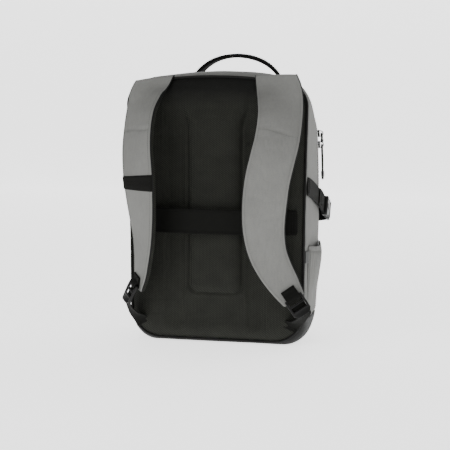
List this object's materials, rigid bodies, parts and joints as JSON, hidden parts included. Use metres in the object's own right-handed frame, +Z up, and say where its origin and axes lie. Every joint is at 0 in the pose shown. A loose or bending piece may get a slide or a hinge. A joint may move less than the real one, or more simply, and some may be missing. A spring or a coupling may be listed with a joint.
{
  "type": "laptop backpack",
  "caption": "Soft-sided laptop backpack standing upright, with curved padded shoulder straps, a mesh back panel with a trolley band, side pockets, compression straps and a front pocket.",
  "frame": {"origin": "middle of the flat underside, on the floor the bag stands on", "axes": "+Z up, +Y towards the front of the bag away from the wearer, +X to the right when looking at the back panel from the wearer's side"},
  "size_m": [0.337, 0.2912, 0.488],
  "materials": {
    "grey_cloth": "matt woven polyester, mid grey",
    "black_mesh": "open air mesh over foam, near black",
    "black_cloth": "matt coated cloth, near black",
    "black_webbing": "ribbed woven webbing, near black",
    "black_plastic": "moulded acetal, satin black",
    "zip_tape": "coated zip tape, near black",
    "pull_cord": "braided cord with a moulded grip, near black",
    "tag_cloth": "plain folded tag, dark grey"
  },
  "bodies": {
    "root": {"gusset": "grey_cloth", "front_shell": "grey_cloth", "front_pocket": "grey_cloth", "shoulder_strap_left": "grey_cloth", "shoulder_strap_right": "grey_cloth", "side_pocket_left": "grey_cloth", "side_pocket_right": "grey_cloth", "back_panel": "black_mesh", "strap_pad_left": "black_mesh", "strap_pad_right": "black_mesh", "base_panel": "black_cloth", "back_piping": "black_cloth", "trolley_band": "black_webbing", "haul_handle": "black_webbing", "strap_loop_left": "black_webbing", "strap_end_webbing_left": "black_webbing", "strap_end_webbing_right": "black_webbing", "lower_webbing_left": "black_webbing", "lower_webbing_right": "black_webbing", "compression_strap_left": "black_webbing", "compression_strap_right": "black_webbing", "compression_tail_left": "black_webbing", "compression_tail_right": "black_webbing", "ladder_lock_left": "black_plastic", "ladder_lock_right": "black_plastic", "side_buckle_left": "black_plastic", "side_buckle_right": "black_plastic", "side_tongue_left": "black_plastic", "side_tongue_right": "black_plastic", "main_slider_upper": "black_plastic", "main_slider_lower": "black_plastic", "front_pocket_slider": "black_plastic", "main_zip": "zip_tape", "front_pocket_zip": "zip_tape", "main_pull_upper": "pull_cord", "main_pull_lower": "pull_cord", "front_pocket_pull": "pull_cord", "side_tag": "tag_cloth"}
  },
  "joints": []
}
